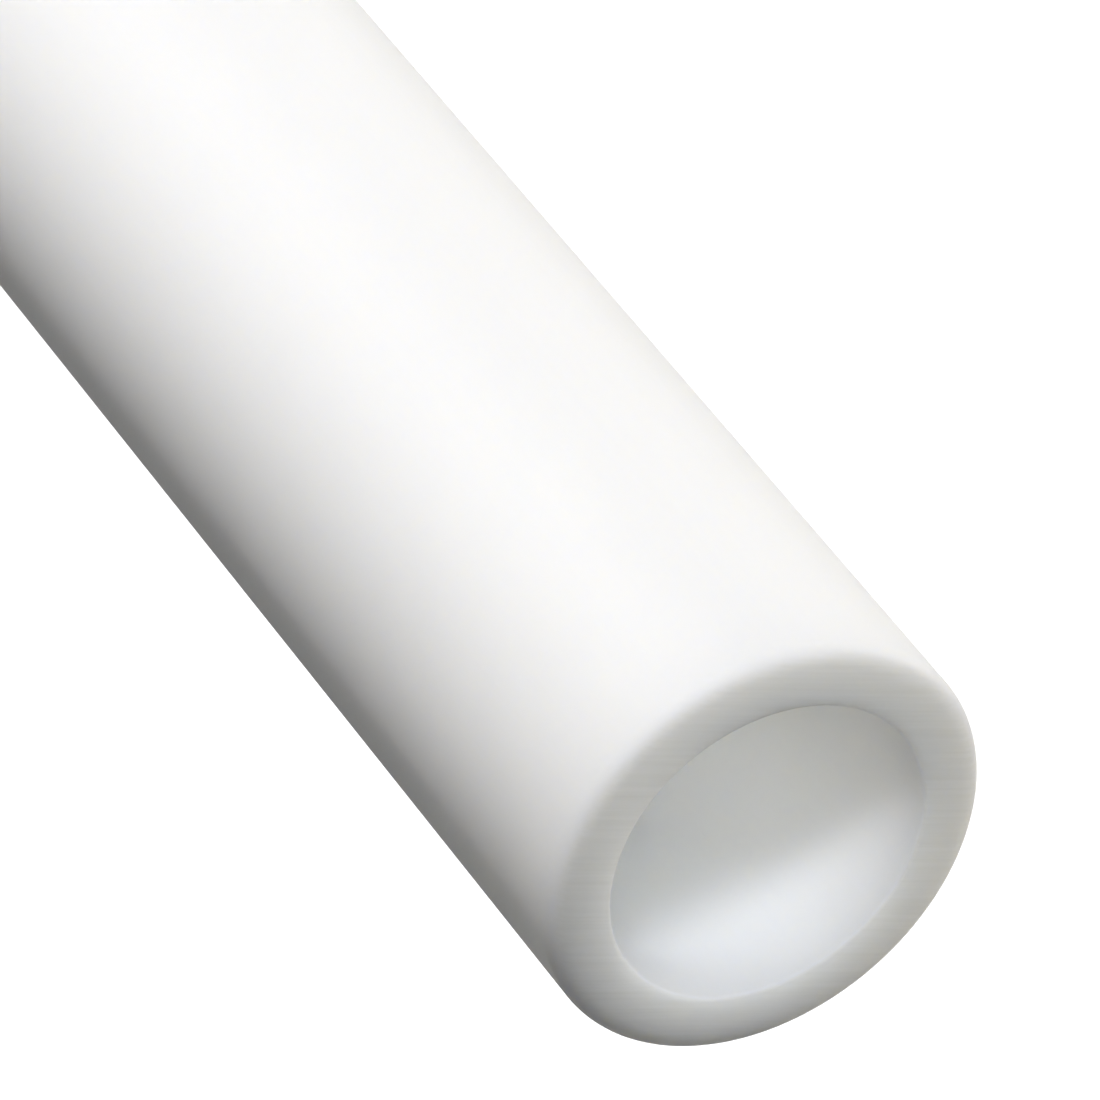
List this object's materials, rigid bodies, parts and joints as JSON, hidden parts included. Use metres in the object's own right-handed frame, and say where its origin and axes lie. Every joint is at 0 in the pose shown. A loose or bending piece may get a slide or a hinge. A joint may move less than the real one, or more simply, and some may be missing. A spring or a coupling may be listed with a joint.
{
  "type": "acetal tube",
  "caption": "Straight thick-walled tube of natural white acetal, cut off square at both ends, with a plain round bore right through and lightly rounded end corners.",
  "frame": {"origin": "centre of the lower cut end, on the tube's axis, where it stands on a surface", "axes": "+Z along the tube's axis, towards its upper cut end; +X and +Y are any two directions across it, because it is round"},
  "size_m": [0.05, 0.05, 0.25],
  "materials": {
    "acetal": "natural white, slightly translucent, satin as extruded"
  },
  "bodies": {
    "root": {"tube": "acetal"}
  },
  "joints": []
}
